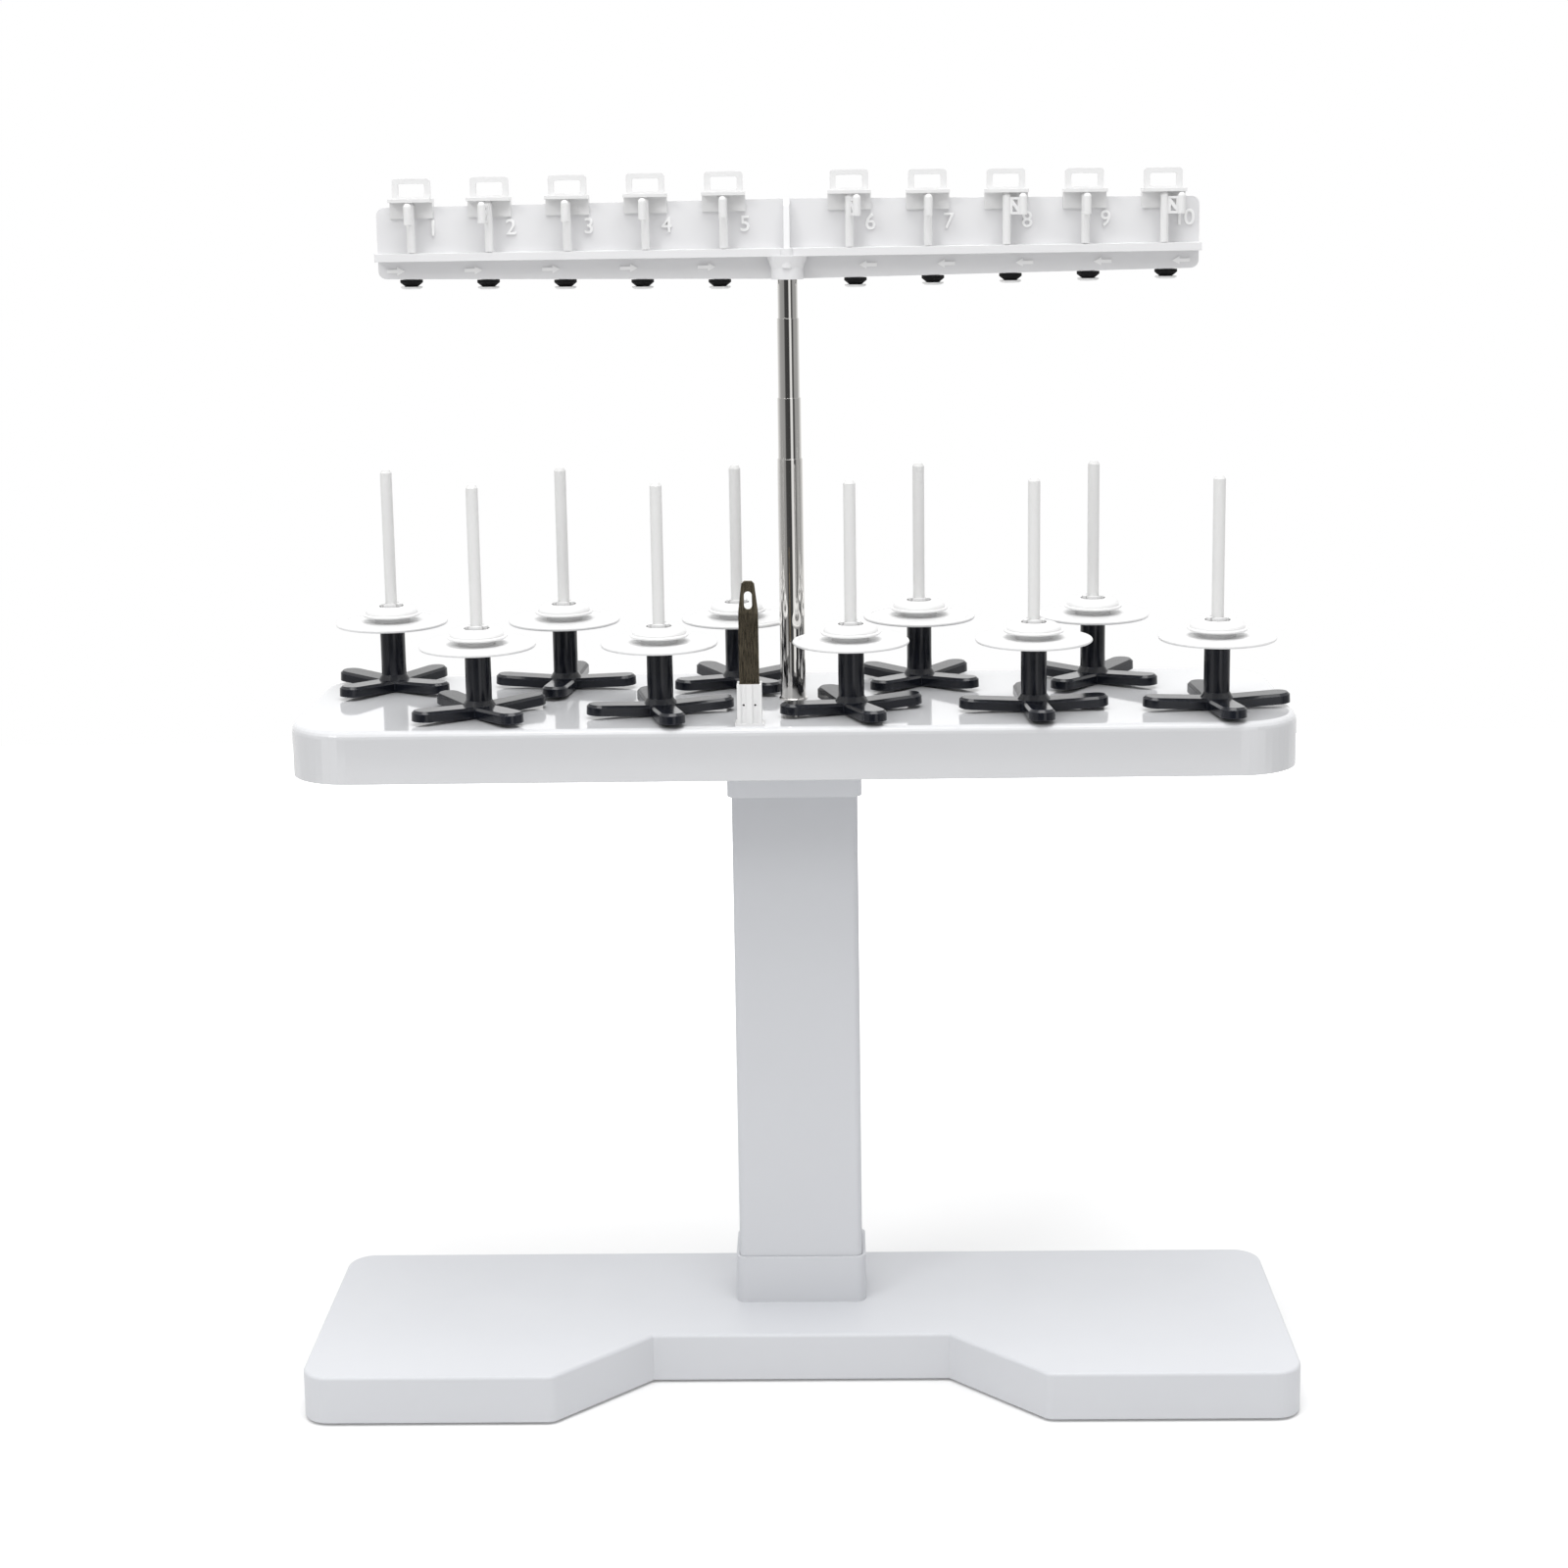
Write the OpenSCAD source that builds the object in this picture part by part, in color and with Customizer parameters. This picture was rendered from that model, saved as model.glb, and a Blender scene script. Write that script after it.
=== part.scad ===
// Ten-spool thread rack: base, column, tray with spool pins, telescopic pole and guide bar.
// Millimetres. X right, Y to the back, Z up, origin on the floor below the middle of the outline.

/* [Base] */
// Width of the base
base_w = 440; // [400:1:480]
// Depth of the base from front to back
base_d = 130; // [120:1:150]
// Height of the moulded base shell
base_h = 21.5; // [18:0.5:28]
// Plan radius of the base's outer corners
base_corner_r = 12; // [8:0.5:18]
// Rounding of the base's top edge
base_edge_r = 1.5; // [1:0.1:2.5]
// Wall of the base shell
base_wall = 2.4; // [2:0.1:3]
// Depth of the notch in the base's front edge
notch_d = 39.5; // [30:0.5:46]
// Width of the notch at the front edge
notch_front_w = 205; // [180:1:230]
// Width of the notch at its back
notch_back_w = 132; // [110:1:150]
// Plan radius of the corners where the notch meets the front edge
notch_corner_r = 6; // [4:0.5:8]
// Distance from the base's back edge to the column's axis
stand_back = 40; // [34:0.5:50]
// Height of the rubber feet below the base shell
foot_h = 1.2; // [0.8:0.1:3]
// Diameter of a rubber foot
foot_dia = 12; // [9:0.5:16]

/* [Column] */
// Width of the column
column_w = 56.8; // [50:0.2:64]
// Depth of the column
column_d = 30; // [26:0.5:36]
// Height of the column from the base's top to the tray's underside
column_h = 260.3; // [220:1:300]
// Radius of the column's vertical edges
column_edge_r = 3; // [2:0.5:5]
// Wall of the column
column_wall = 2.4; // [2:0.1:3]
// Height of the socket that stands on the base round the column
socket_h = 22.1; // [16:0.1:30]
// Wall of the socket
socket_wall = 1.5; // [1.2:0.1:2.5]
// Gap between the column and the socket
socket_fit = 0.15; // [0.05:0.05:0.4]
// Height of the collar round the column's top
collar_h = 19; // [12:0.5:26]
// Wall of the collar
collar_wall = 1.9; // [1.4:0.1:3]

/* [Tray] */
// Width of the tray
tray_w = 440; // [420:1:480]
// Depth of the tray
tray_d = 126; // [120:1:140]
// Height of the tray
tray_h = 23; // [20:0.5:28]
// Plan radius of the tray's corners
tray_corner_r = 28; // [20:1:34]
// Rounding of the tray's top edge
tray_edge_r = 3.2; // [2:0.1:4]
// Wall of the tray shell
tray_wall = 2.4; // [2:0.1:3]

/* [Covers and screws] */
// Thickness of the bottom covers
cover_t = 2; // [1.6:0.1:2.6]
// Gap between a cover's edge and the shell round it
cover_fit = 0.25; // [0.1:0.05:0.5]
// Shank diameter of a cover screw
screw_dia = 2.9; // [2.5:0.1:3.5]
// Head diameter of a cover screw
screw_head_dia = 5.4; // [5:0.1:6.4]
// Shank diameter of a column screw
column_screw_dia = 3.4; // [3:0.1:3.8]
// Head diameter of a column screw
column_screw_head_dia = 6.6; // [6:0.1:7.4]
// Length of thread that a column screw has in the column
column_screw_grip = 10; // [7:0.5:14]

/* [Spool stations] */
// Distance between neighbouring spools of one row
spool_pitch = 80; // [78:0.5:84]
// Distance from the tray's middle to the nearest spool of each half
spool_inner_x = 26; // [25:0.5:30]
// Sideways shift between the front and the back row
spool_stagger = 32; // [30:0.5:34]
// Distance of each row from the tray's centre line
row_y = 31; // [30:0.5:33]
// Diameter of a spool pin
pin_dia = 5.3; // [4.5:0.1:6]
// Height of a spool pin above the tray
pin_h = 102.6; // [90:0.5:120]
// Depth of a spool pin's seat below the tray's top
pin_seat = 11; // [8:0.5:15]
// Radial clearance of the parts that turn or slide on a spool pin
pin_fit = 0.05; // [0.03:0.01:0.1]

/* [Cross feet] */
// Reach of a leg from the pin's axis to the leg's tip
leg_reach = 33; // [29:0.5:34]
// Width of a leg
leg_w = 11.5; // [9:0.5:13]
// Thickness of a leg
leg_t = 4.6; // [3.5:0.1:6]
// Chamfer along a leg's top edges
leg_chamfer = 1.1; // [0.5:0.1:1.5]
// Angle at which a leg rises towards its tip
leg_rise = 3; // [1:0.5:5]
// Outer diameter of the foot's tube
tube_dia = 11.4; // [10:0.2:14]
// Height of the foot from its underside to the tube's top
cross_h = 30.2; // [26:0.2:36]
// Diameter of the flared root of the foot's tube
tube_root_dia = 15; // [13:0.5:18]
// Gap under a foot and under a cap
rest_gap = 0.3; // [0.2:0.05:0.3]

/* [Spool caps] */
// Diameter of a cap's disc
disc_dia = 51.2; // [44:0.2:56]
// Thickness of the disc
disc_t = 1.6; // [1.2:0.1:2.4]
// Diameter of the cap's neck
neck_dia = 16; // [14:0.5:20]
// Height of the neck between the disc and the dome
neck_h = 2.6; // [1.5:0.1:4]
// Diameter of the dome
dome_dia = 26.5; // [22:0.5:32]
// Thickness of the dome's rim
dome_rim_t = 1.2; // [0.8:0.1:2]
// Height of the dome above its rim
dome_rise = 4.4; // [3:0.1:6]
// Number of spring fingers round the pin
finger_count = 4; // [3:1:6]
// Outer diameter of the ring of spring fingers
finger_dia = 9.6; // [9:0.1:11]
// Height of the spring fingers above the dome's floor
finger_h = 1.2; // [0.8:0.1:2]

/* [Pole] */
// Outer diameter of the thinnest, topmost pole stage
stage_dia = 9; // [8:0.1:10]
// Wall of a pole stage
stage_wall = 0.34; // [0.3:0.01:0.5]
// Radial clearance between two pole stages
stage_fit = 0.06; // [0.04:0.01:0.1]
// Height of the lowest stage above the tray
stage_1_out = 109; // [95:1:130]
// Length of the second stage that stands out of the first
stage_2_out = 27; // [20:0.5:60]
// Length of the third stage that stands out of the second
stage_3_out = 35; // [25:0.5:60]
// Length of the top stage between the third stage and the bar
stage_4_out = 17; // [12:0.5:60]
// Length of each stage that stays inside the one below
stage_inside = 75; // [65:1:85]
// Depth of the top stage's seat in the bar's boss
stage_seat = 8; // [6:0.5:9]
// Wall of the ferrule round the pole's foot
ferrule_wall = 0.7; // [0.5:0.1:1.2]
// Height of the ferrule above the tray
ferrule_h = 0.9; // [0.6:0.1:2]

/* [Guide bar] */
// Width of the guide bar
bar_w = 361; // [350:1:380]
// Height of the guide bar in its middle
bar_h = 34.9; // [32:0.1:40]
// Thickness of the bar's plate
bar_t = 2.4; // [2:0.1:3]
// Drop of the bar's top edge towards its ends
bar_top_drop = 1.5; // [0:0.1:2]
// Rise of the bar's bottom edge towards its ends
bar_bottom_rise = 2.3; // [0:0.1:3]
// Distance from the pole's axis back to the plate's front face
bar_back = 3; // [2:0.1:3.6]
// Height of the shelf above the bar's bottom
shelf_z = 10; // [9:0.1:12]
// Thickness of the shelf
shelf_t = 3.5; // [2.5:0.1:4]
// Distance that the shelf stands out from the plate
shelf_out = 9; // [8.5:0.1:11]
// Outer diameter of the boss that takes the pole
boss_dia = 14.2; // [13:0.1:16]
// Width of the middle ribs
centre_rib_w = 2.7; // [2:0.1:4]

/* [Guide stations] */
// Distance from the bar's middle to the first station
station_inner_x = 27.5; // [25:0.5:30]
// Distance between two stations
station_pitch = 34.3; // [32:0.1:35.5]
// Width of a clip's saddle
clip_w = 18.9; // [17:0.1:21]
// Height of the clip's saddle below its lip
saddle_h = 7; // [5:0.1:9]
// Height of the lip's underside over the bar's top edge
lip_over_edge = 2; // [0.5:0.1:3]
// Wall of the clip's saddle
saddle_wall = 1.4; // [1.2:0.1:1.8]
// Thickness of the lip over the lever
lip_t = 1.5; // [1.2:0.1:2.2]
// Width of the clip's frame
frame_w = 16.8; // [16:0.1:19]
// Height of the clip's frame above the lip
frame_h = 8.8; // [7.5:0.1:12]
// Width of the thread window in the frame
window_w = 11.6; // [9:0.1:12.5]
// Height of the thread window
window_h = 5.6; // [4.8:0.1:6]
// Height of the window's sill above the lip
window_sill = 0.9; // [0.6:0.1:1.2]
// Thickness of the frame
frame_t = 2; // [1.6:0.1:2.6]
// Distance of the lever's axis in front of the plate
lever_out = 4.9; // [4.5:0.1:5.5]
// Diameter of the lever's post
post_dia = 3.6; // [3:0.1:4]
// Diameter of the lever's two pivots
pivot_dia = 2; // [1.6:0.1:2.4]
// Height of the chamfer on top of the post
post_crown = 0.9; // [0.4:0.1:1.4]
// Length of each pivot inside its hole
pivot_len = 1.2; // [1:0.1:1.4]
// Radial clearance of a pivot in its hole
pivot_fit = 0.05; // [0.03:0.01:0.1]
// Gap above and below a lever's post
lever_gap = 0.3; // [0.2:0.05:0.4]
// Reach of the lever's flag from its axis
flag_reach = 9.2; // [8:0.1:11]
// Height of the lever's flag
flag_h = 9.2; // [8:0.1:11]
// Thickness of the flag's web
flag_t = 1.2; // [0.8:0.1:1.6]
// Diameter of the bead along the flag's outer edge
bead_dia = 3.4; // [2.4:0.1:3.8]

/* [Clamps under the bar] */
// Distance from the bar's middle to the first clamp
clamp_inner_x = 30; // [28:0.5:32]
// Distance between two clamps
clamp_pitch = 34.2; // [32:0.1:35]
// Upper diameter of a clamp's rubber
rubber_dia = 10; // [8:0.2:12]
// Lower diameter of a clamp's rubber
rubber_neck_dia = 5.5; // [4.5:0.1:7]
// Height of a clamp's rubber
rubber_h = 3; // [2:0.1:4]
// Diameter of a clamp stud's flange
stud_dia = 9.5; // [7:0.1:11]
// Thickness of a clamp stud's flange
stud_t = 1.1; // [0.8:0.1:1.5]
// Diameter of a clamp stud's stem
stem_dia = 2.6; // [2:0.1:3]

/* [Tweezers] */
// Sideways place of the tweezers and their holder
tweezers_x = -18; // [-20:0.5:-16]
// Height of the tweezers above the tray
tweezers_h = 62.5; // [52:0.5:75]
// Width of the blades above the holder
blade_w = 8.5; // [7:0.1:8.6]
// Width of the blades at their joined top
blade_top_w = 5.6; // [5:0.1:7]
// Thickness of a blade
blade_t = 0.8; // [0.6:0.05:1]
// Distance between the blades where they are widest apart
blade_gap = 3; // [2:0.1:3.4]
// Width of the slot near the top of the blades
blade_slot_w = 3.4; // [3:0.1:3.8]
// Height of the slot
blade_slot_h = 7.8; // [6:0.1:10]
// Width of the holder
holder_w = 10.6; // [10.4:0.1:13]
// Depth of the holder
holder_d = 9; // [8.4:0.1:12]
// Height of the holder
holder_h = 18; // [14:0.5:24]
// Distance from the tray's front edge back to the holder's front face
holder_inset = 5; // [4:0.1:8]
// Wall of the holder
holder_wall = 0.8; // [0.7:0.05:1]
// Gap between the blades and the holder
holder_fit = 0.15; // [0.1:0.05:0.3]

/* [Hidden] */
// Facets of the large true circles, and of the shapes inside a hull
$fn = 64;
HULL_FN = 48;
EDGE_FN = 16;
// Overlap of pieces that are fused, and overshoot of cuts
FUSE = 0.3;
CUT = 1;

// Turn of each cross foot about its pin, in degrees, as photographed
CROSS_TURN = [55, 37, -5, 14, 33, 20, 50, 3, 55, 7];
// Swing of each tension lever from straight ahead, in degrees, as photographed
LEVER_SWING = [0, -15, 0, -5, 0, 25, 0, 67, 0, 72];
STATIONS = [1:10];
HALF = 5;

// The column, tray, pole and bar share one axis, set so that the outline is centred on the origin
front_reach = max(base_d - stand_back, tray_d / 2, row_y + leg_reach);
back_reach = max(stand_back, tray_d / 2, row_y + leg_reach);
stand_y = (front_reach - back_reach) / 2;

// Levels above the floor
base_top = foot_h + base_h;
tray_z = base_top + column_h;
tray_top = tray_z + tray_h;
stage_1_top = tray_top + stage_1_out;
stage_2_top = stage_1_top + stage_2_out;
stage_3_top = stage_2_top + stage_3_out;
bar_z = stage_3_top + stage_4_out;

// Base outline
base_back_y = stand_y + stand_back;
base_front_y = base_back_y - base_d;
notch_back_y = base_front_y + notch_d;
notch_slope = (notch_front_w - notch_back_w) / 2 / notch_d;

// Sections of shells, sockets and pole stages
socket_w = column_w + 2 * (socket_fit + socket_wall);
socket_d = column_d + 2 * (socket_fit + socket_wall);
stage_step = 2 * (stage_wall + stage_fit);
function stage_od(n) = stage_dia + (4 - n) * stage_step;
pin_bore_dia = pin_dia + 2 * pin_fit;

// Screws
screw_head_t = 1;
screw_len = 9;
screw_boss_dia = 7;
screw_pilot_dia = screw_dia + 0.1;
column_head_t = 2.4;
column_boss_dia = column_screw_dia + 3.6;
column_boss_h = column_screw_grip + 4;
column_boss_x = column_w / 2 - column_wall - column_boss_dia / 2 + 0.5;
column_boss_y = column_d / 2 - column_wall - column_boss_dia / 2 + 0.5;
column_web_t = 3;

// Places of one spool station: odd ones stand in the back row, even ones in the front row
function spool_side(k) = k > HALF ? 1 : -1;
function spool_step(k) = k > HALF ? k - HALF - 1 : HALF - k;
function spool_x(k) = spool_side(k)
    * (spool_inner_x + spool_pitch * floor(spool_step(k) / 2) + spool_stagger * (spool_step(k) % 2));
function spool_y(k) = stand_y + (k % 2 == 1 ? row_y : -row_y);

// Places along the guide bar
function station_x(k) = spool_side(k) * (station_inner_x + station_pitch * spool_step(k));
function clamp_x(k) = spool_side(k) * (clamp_inner_x + clamp_pitch * spool_step(k));
function bar_top_at(x) = bar_z + bar_h - bar_top_drop * abs(x) / (bar_w / 2);
function bar_bottom_at(x) = bar_z + bar_bottom_rise * abs(x) / (bar_w / 2);
plate_front_y = stand_y + bar_back;
plate_back_y = plate_front_y + bar_t;
shelf_front_y = plate_front_y - shelf_out;
shelf_top = bar_z + shelf_z + shelf_t;
lever_y = plate_front_y - lever_out;
saddle_fit = 0.05;
saddle_seat = 0.1;
lip_front_y = lever_y - post_dia / 2 - 0.6;

// Clamps hang below small bosses on the back of the plate
clamp_boss_dia = 6.4;
clamp_y = plate_back_y + clamp_boss_dia / 2 - 0.6;
clamp_drop = 0.4;
stem_len = 6;

// Cap levels above the disc's underside
cap_neck_z = disc_t + neck_h;
cap_rim_top = cap_neck_z + dome_rim_t;
cap_top = cap_rim_top + dome_rise;
cap_flat_dia = finger_dia + 3;

// Tweezers and holder
tweezers_floor = 1;
blade_joined_h = 14;
holder_front_y = stand_y - tray_d / 2 + holder_inset;
holder_front_wall = 1.7;
holder_back_wall = 1.2;
pocket_w = blade_w + 2 * holder_fit;
pocket_y = holder_front_y + holder_front_wall;
pocket_d = holder_d - holder_front_wall - holder_back_wall;
tweezers_y = pocket_y + pocket_d / 2;

// Rectangle with rounded corners, centred
module rounded_rect(w, d, r) {
    square([w - 2 * r, d], center = true);
    square([w, d - 2 * r], center = true);
    for (sx = [-1, 1], sy = [-1, 1])
        translate([sx * (w / 2 - r), sy * (d / 2 - r)])
            circle(r);
}

// Disc whose top edge is rounded, the corner shape of the moulded shells
module puck(r, h, edge_r) {
    rotate_extrude($fn = HULL_FN) {
        square([r - edge_r, h]);
        square([r, h - edge_r]);
        translate([r - edge_r, h - edge_r])
            circle(edge_r, $fn = EDGE_FN);
    }
}

// Pan head screw, its head below the seat at z = 0 and its shank pointing up
module screw_up(dia, head_dia, head_t, len) {
    translate([0, 0, -head_t])
        cylinder(d = head_dia, h = head_t);
    cylinder(d = dia, h = len);
}

// Base

// One convex pad of the base, given by its corner centres and radii
module base_pad(corners) {
    hull()
        for (c = corners)
            translate([c[0], c[1], foot_h])
                puck(c[2], base_h, base_edge_r);
}

// Left or right arm of the base, running on past the notch's back so that the edges mitre
module base_arm(side) {
    r = base_corner_r;
    n = notch_corner_r;
    into = base_back_y - notch_back_y - base_corner_r;
    tip_x = notch_back_w / 2 - notch_slope * into + n;
    slant_room = 1.4;
    base_pad([
        [side * (base_w / 2 - r), base_back_y - r, r],
        [side * (base_w / 2 - r), base_front_y + r, r],
        [side * (notch_front_w / 2 + n * slant_room), base_front_y + n, n],
        [side * tip_x, notch_back_y + into - n, n],
        [side * tip_x, base_back_y - n, n]]);
}

module base_back_strip() {
    r = base_corner_r;
    base_pad([for (sx = [-1, 1], y = [base_back_y - r, notch_back_y + r]) [sx * (base_w / 2 - r), y, r]]);
}

// Plan outline of the base set in by a distance
module base_inside(inset) {
    front = base_front_y + inset;
    back = base_back_y - inset;
    notch = notch_back_y + inset;
    half = base_w / 2 - inset;
    slant = inset * sqrt(1 + notch_slope * notch_slope);
    front_x = notch_front_w / 2 + slant - notch_slope * inset;
    back_x = notch_back_w / 2 + slant - notch_slope * inset;
    cut = base_corner_r * 0.3;
    polygon([
        [-half, front + cut], [-half + cut, front], [-front_x - cut, front], [-back_x, notch],
        [back_x, notch], [front_x + cut, front], [half - cut, front], [half, front + cut],
        [half, back - cut], [half - cut, back], [-half + cut, back], [-half, back - cut]]);
}

// Screw places of the base's cover
base_screw_inset = 16;
arm_screw_inset = 22;
back_screw_inset = 4;
base_screw_points = concat(
    [for (sx = [-1, 1], y = [base_front_y + base_screw_inset, base_back_y - base_screw_inset])
        [sx * (base_w / 2 - base_screw_inset), y]],
    [for (sx = [-1, 1]) [sx * (notch_front_w / 2 + arm_screw_inset), base_front_y + base_screw_inset]],
    [for (sx = [-1, 1]) [sx * (notch_back_w / 2 - back_screw_inset), base_back_y - base_screw_inset]]);

// Places of the four screws at each end of the column
column_screw_points = [for (sx = [-1, 1], sy = [-1, 1]) [sx * column_boss_x, stand_y + sy * column_boss_y]];

module base_shell() {
    color("gainsboro")
        difference() {
            union() {
                difference() {
                    union() {
                        base_back_strip();
                        base_arm(-1);
                        base_arm(1);
                    }
                    translate([0, 0, foot_h - CUT])
                        linear_extrude(base_h - base_wall + CUT)
                            base_inside(base_wall);
                }
                for (p = base_screw_points)
                    translate([p[0], p[1], foot_h + cover_t])
                        cylinder(d = screw_boss_dia, h = base_h - cover_t - base_wall + FUSE);
                translate([0, stand_y, base_top - FUSE])
                    linear_extrude(socket_h + FUSE)
                        rounded_rect(socket_w, socket_d, column_edge_r + socket_wall);
            }
            translate([0, stand_y, base_top])
                linear_extrude(socket_h + CUT)
                    rounded_rect(column_w + 2 * socket_fit, column_d + 2 * socket_fit, column_edge_r);
            for (p = base_screw_points)
                translate([p[0], p[1], foot_h - CUT])
                    cylinder(d = screw_pilot_dia, h = screw_len + CUT + FUSE);
            for (p = column_screw_points)
                translate([p[0], p[1], foot_h])
                    cylinder(d = column_screw_dia + 0.2, h = base_h + CUT);
        }
}

module base_bottom() {
    color("silver")
        difference() {
            translate([0, 0, foot_h])
                linear_extrude(cover_t)
                    base_inside(base_wall + cover_fit);
            for (p = base_screw_points) {
                translate([p[0], p[1], foot_h - CUT])
                    cylinder(d = screw_dia + 0.3, h = cover_t + 2 * CUT);
                translate([p[0], p[1], foot_h - CUT])
                    cylinder(d = screw_head_dia + 0.4, h = screw_head_t + CUT);
            }
        }
}

// Rubber feet under the corners of both arms and of the back strip
foot_side_inset = 30;
foot_row_inset = 20;
foot_arm_inset = 33;
foot_points = concat(
    [for (sx = [-1, 1], y = [base_front_y + foot_row_inset, base_back_y - foot_row_inset])
        [sx * (base_w / 2 - foot_side_inset), y]],
    [for (sx = [-1, 1]) [sx * (notch_front_w / 2 + foot_arm_inset), base_front_y + foot_row_inset]]);

module rubber_feet() {
    color("dimgray")
        for (p = foot_points)
            translate([p[0], p[1], 0]) {
                cylinder(d1 = foot_dia - 1, d2 = foot_dia, h = foot_h / 2);
                translate([0, 0, foot_h / 2])
                    cylinder(d = foot_dia, h = foot_h / 2);
            }
}

// Column

module column() {
    color("gainsboro")
        difference() {
            translate([0, stand_y, base_top])
                linear_extrude(column_h)
                    rounded_rect(column_w, column_d, column_edge_r);
            difference() {
                translate([0, stand_y, base_top + column_web_t])
                    linear_extrude(column_h - 2 * column_web_t)
                        square([column_w - 2 * column_wall, column_d - 2 * column_wall], center = true);
                for (p = column_screw_points, z = [base_top, tray_z - column_boss_h])
                    translate([p[0], p[1], z])
                        cylinder(d = column_boss_dia, h = column_boss_h);
            }
            for (p = column_screw_points, z = [base_top - CUT, tray_z - column_screw_grip - FUSE])
                translate([p[0], p[1], z])
                    cylinder(d = column_screw_dia + 0.1, h = column_screw_grip + CUT + FUSE);
        }
}

module column_collar() {
    color("gainsboro")
        translate([0, stand_y, tray_z - collar_h])
            difference() {
                linear_extrude(collar_h)
                    rounded_rect(column_w + 2 * collar_wall, column_d + 2 * collar_wall,
                                 column_edge_r + collar_wall);
                translate([0, 0, -CUT])
                    linear_extrude(collar_h + 2 * CUT)
                        rounded_rect(column_w + 0.04, column_d + 0.04, column_edge_r);
            }
}

module column_screws() {
    color("darkgray") {
        for (p = column_screw_points)
            translate([p[0], p[1], base_top - base_wall])
                screw_up(column_screw_dia, column_screw_head_dia, column_head_t,
                         base_wall + column_screw_grip - FUSE);
        for (p = column_screw_points)
            translate([p[0], p[1], tray_z + cover_t])
                mirror([0, 0, 1])
                    screw_up(column_screw_dia, column_screw_head_dia, column_head_t,
                             cover_t + column_screw_grip - FUSE);
    }
}

// Tray

// Screw places of the tray's cover
tray_screw_end_inset = 14;
tray_screw_row_inset = 9;
tray_screw_points = [for (sx = [-1, 0, 1], sy = [-1, 1])
    [sx * (tray_w / 2 - tray_screw_end_inset - tray_corner_r / 2), stand_y + sy * (tray_d / 2 - tray_screw_row_inset)]];

module tray_shell() {
    tray_boss_dia = pin_dia + 5;
    pole_boss_dia = stage_od(1) + 5;
    color("white")
        difference() {
            union() {
                difference() {
                    translate([0, stand_y, tray_z])
                        hull()
                            for (sx = [-1, 1], sy = [-1, 1])
                                translate([sx * (tray_w / 2 - tray_corner_r), sy * (tray_d / 2 - tray_corner_r), 0])
                                    puck(tray_corner_r, tray_h, tray_edge_r);
                    translate([0, stand_y, tray_z - CUT])
                        linear_extrude(tray_h - tray_wall + CUT)
                            rounded_rect(tray_w - 2 * tray_wall, tray_d - 2 * tray_wall, tray_corner_r - tray_wall);
                }
                for (p = tray_screw_points)
                    translate([p[0], p[1], tray_z + cover_t])
                        cylinder(d = screw_boss_dia, h = tray_h - cover_t - tray_wall + FUSE);
                for (k = STATIONS)
                    translate([spool_x(k), spool_y(k), tray_top - pin_seat - 2])
                        cylinder(d = tray_boss_dia, h = pin_seat + 2 - tray_wall + FUSE);
                translate([0, stand_y, tray_z + cover_t])
                    cylinder(d = pole_boss_dia, h = tray_h - cover_t - tray_wall + FUSE);
            }
            for (p = tray_screw_points)
                translate([p[0], p[1], tray_z - CUT])
                    cylinder(d = screw_pilot_dia, h = screw_len + CUT + FUSE);
            for (k = STATIONS)
                translate([spool_x(k), spool_y(k), tray_top - pin_seat])
                    cylinder(d = pin_dia + 0.04, h = pin_seat + CUT);
            translate([0, stand_y, tray_z - CUT])
                cylinder(d = stage_od(1) + 0.04, h = tray_h + 2 * CUT);
            translate([0, stand_y, tray_top - ferrule_h])
                cylinder(d = stage_od(1) + 2 * ferrule_wall + 0.04, h = ferrule_h + CUT);
        }
}

module tray_bottom() {
    color("gainsboro")
        difference() {
            translate([0, stand_y, tray_z])
                linear_extrude(cover_t)
                    rounded_rect(tray_w - 2 * (tray_wall + cover_fit), tray_d - 2 * (tray_wall + cover_fit),
                                 tray_corner_r - tray_wall - cover_fit);
            for (p = tray_screw_points) {
                translate([p[0], p[1], tray_z - CUT])
                    cylinder(d = screw_dia + 0.3, h = cover_t + 2 * CUT);
                translate([p[0], p[1], tray_z - CUT])
                    cylinder(d = screw_head_dia + 0.4, h = screw_head_t + CUT);
            }
            for (p = column_screw_points)
                translate([p[0], p[1], tray_z - CUT])
                    cylinder(d = column_screw_dia + 0.2, h = cover_t + 2 * CUT);
        }
}

module cover_screws() {
    color("darkgray") {
        for (p = base_screw_points)
            translate([p[0], p[1], foot_h + screw_head_t])
                screw_up(screw_dia, screw_head_dia, screw_head_t, screw_len - screw_head_t);
        for (p = tray_screw_points)
            translate([p[0], p[1], tray_z + screw_head_t])
                screw_up(screw_dia, screw_head_dia, screw_head_t, screw_len - screw_head_t);
    }
}

module spool_pins() {
    tip_h = 1.4;
    color("whitesmoke")
        for (k = STATIONS)
            translate([spool_x(k), spool_y(k), tray_top - pin_seat]) {
                cylinder(d = pin_dia, h = pin_seat + pin_h - tip_h);
                translate([0, 0, pin_seat + pin_h - tip_h])
                    cylinder(d1 = pin_dia, d2 = pin_dia - 1.8, h = tip_h);
            }
}

// Cross feet and caps

// One leg along +X, a bar of chamfered section with a round, chamfered tip
module cross_leg() {
    half = leg_w / 2;
    straight = leg_reach - half;
    rotate([90, 0, 90])
        linear_extrude(straight)
            polygon([
                [-half, 0], [half, 0], [half, leg_t - leg_chamfer], [half - leg_chamfer, leg_t],
                [-half + leg_chamfer, leg_t], [-half, leg_t - leg_chamfer]]);
    translate([straight, 0, 0]) {
        cylinder(d = leg_w, h = leg_t - leg_chamfer);
        translate([0, 0, leg_t - leg_chamfer])
            cylinder(d1 = leg_w, d2 = leg_w - 2 * leg_chamfer, h = leg_chamfer);
    }
}

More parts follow.
